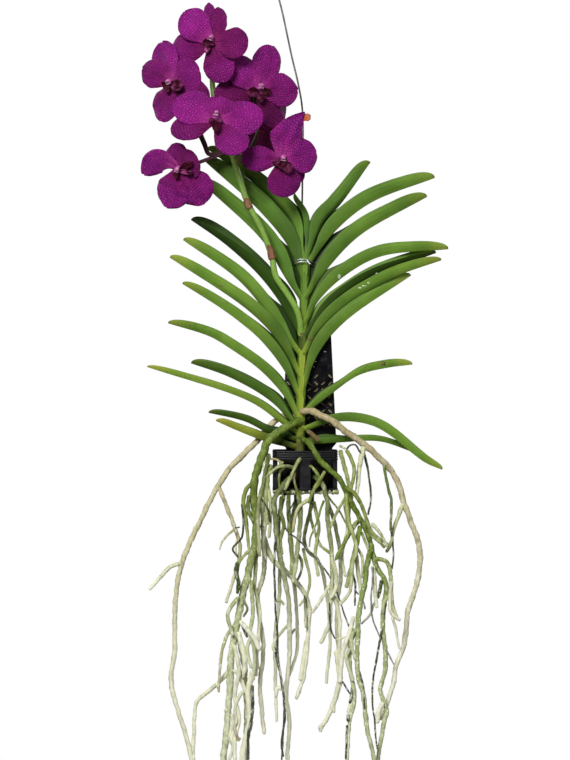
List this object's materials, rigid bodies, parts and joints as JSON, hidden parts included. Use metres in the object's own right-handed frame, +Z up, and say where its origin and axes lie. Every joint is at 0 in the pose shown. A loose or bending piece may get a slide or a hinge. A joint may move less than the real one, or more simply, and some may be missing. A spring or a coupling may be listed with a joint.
{
  "type": "hanging vanda orchid in bloom in a small slatted basket",
  "caption": "Vanda orchid with magenta blooms, strap leaves and long bare aerial roots, in a small black basket on a bent steel hanger wire with a hook.",
  "frame": {"origin": "inside top of the hanger wire's hook, where the rail or nail that carries the plant touches it", "axes": "+Z up along the hanging plant; -Y is the side the blooms face; +X is to the right seen from there"},
  "size_m": [0.3665, 0.1496, 0.9991],
  "materials": {
    "hanger_steel": "satin",
    "tie_steel": "gloss",
    "orange_plastic": "satin",
    "black_plastic": "gloss",
    "stem_skin": "satin",
    "leaf": "satin",
    "spike_skin": "satin",
    "tepal": "matte",
    "column": "satin",
    "lip": "satin",
    "tan_root": "matte",
    "green_root": "matte",
    "pale_root": "matte"
  },
  "bodies": {
    "root": {"hanger_wire": "hanger_steel", "wire_clip": "orange_plastic", "basket": "black_plastic", "mesh_panel": "black_plastic", "stem": "stem_skin", "leaf_heart": "leaf", "leaf_left_1": "leaf", "leaf_left_2": "leaf", "leaf_left_3": "leaf", "leaf_left_4": "leaf", "leaf_left_5": "leaf", "leaf_left_6": "leaf", "leaf_left_7": "leaf", "leaf_left_8": "leaf", "leaf_left_9": "leaf", "leaf_left_10": "leaf", "leaf_left_11": "leaf", "leaf_left_12": "leaf", "leaf_right_1": "leaf", "leaf_right_2": "leaf", "leaf_right_3": "leaf", "leaf_right_4": "leaf", "leaf_right_5": "leaf", "leaf_right_6": "leaf", "leaf_right_7": "leaf", "leaf_right_8": "leaf", "leaf_right_9": "leaf", "leaf_right_10": "leaf", "flower_spike": "spike_skin", "bloom_1_tepals": "tepal", "bloom_1_column": "column", "bloom_1_lip": "lip", "bloom_2_tepals": "tepal", "bloom_2_column": "column", "bloom_2_lip": "lip", "bloom_3_tepals": "tepal", "bloom_3_column": "column", "bloom_3_lip": "lip", "bloom_4_tepals": "tepal", "bloom_4_column": "column", "bloom_4_lip": "lip", "bloom_5_tepals": "tepal", "bloom_5_column": "column", "bloom_5_lip": "lip", "bloom_6_tepals": "tepal", "bloom_6_column": "column", "bloom_6_lip": "lip", "bloom_7_tepals": "tepal", "bloom_7_column": "column", "bloom_7_lip": "lip", "root_tan_left": "tan_root", "root_green_left": "green_root", "root_tan_right": "tan_root", "root_green_right": "green_root", "roots_in_basket": "pale_root", "tie_wire": "tie_steel"}
  },
  "joints": []
}
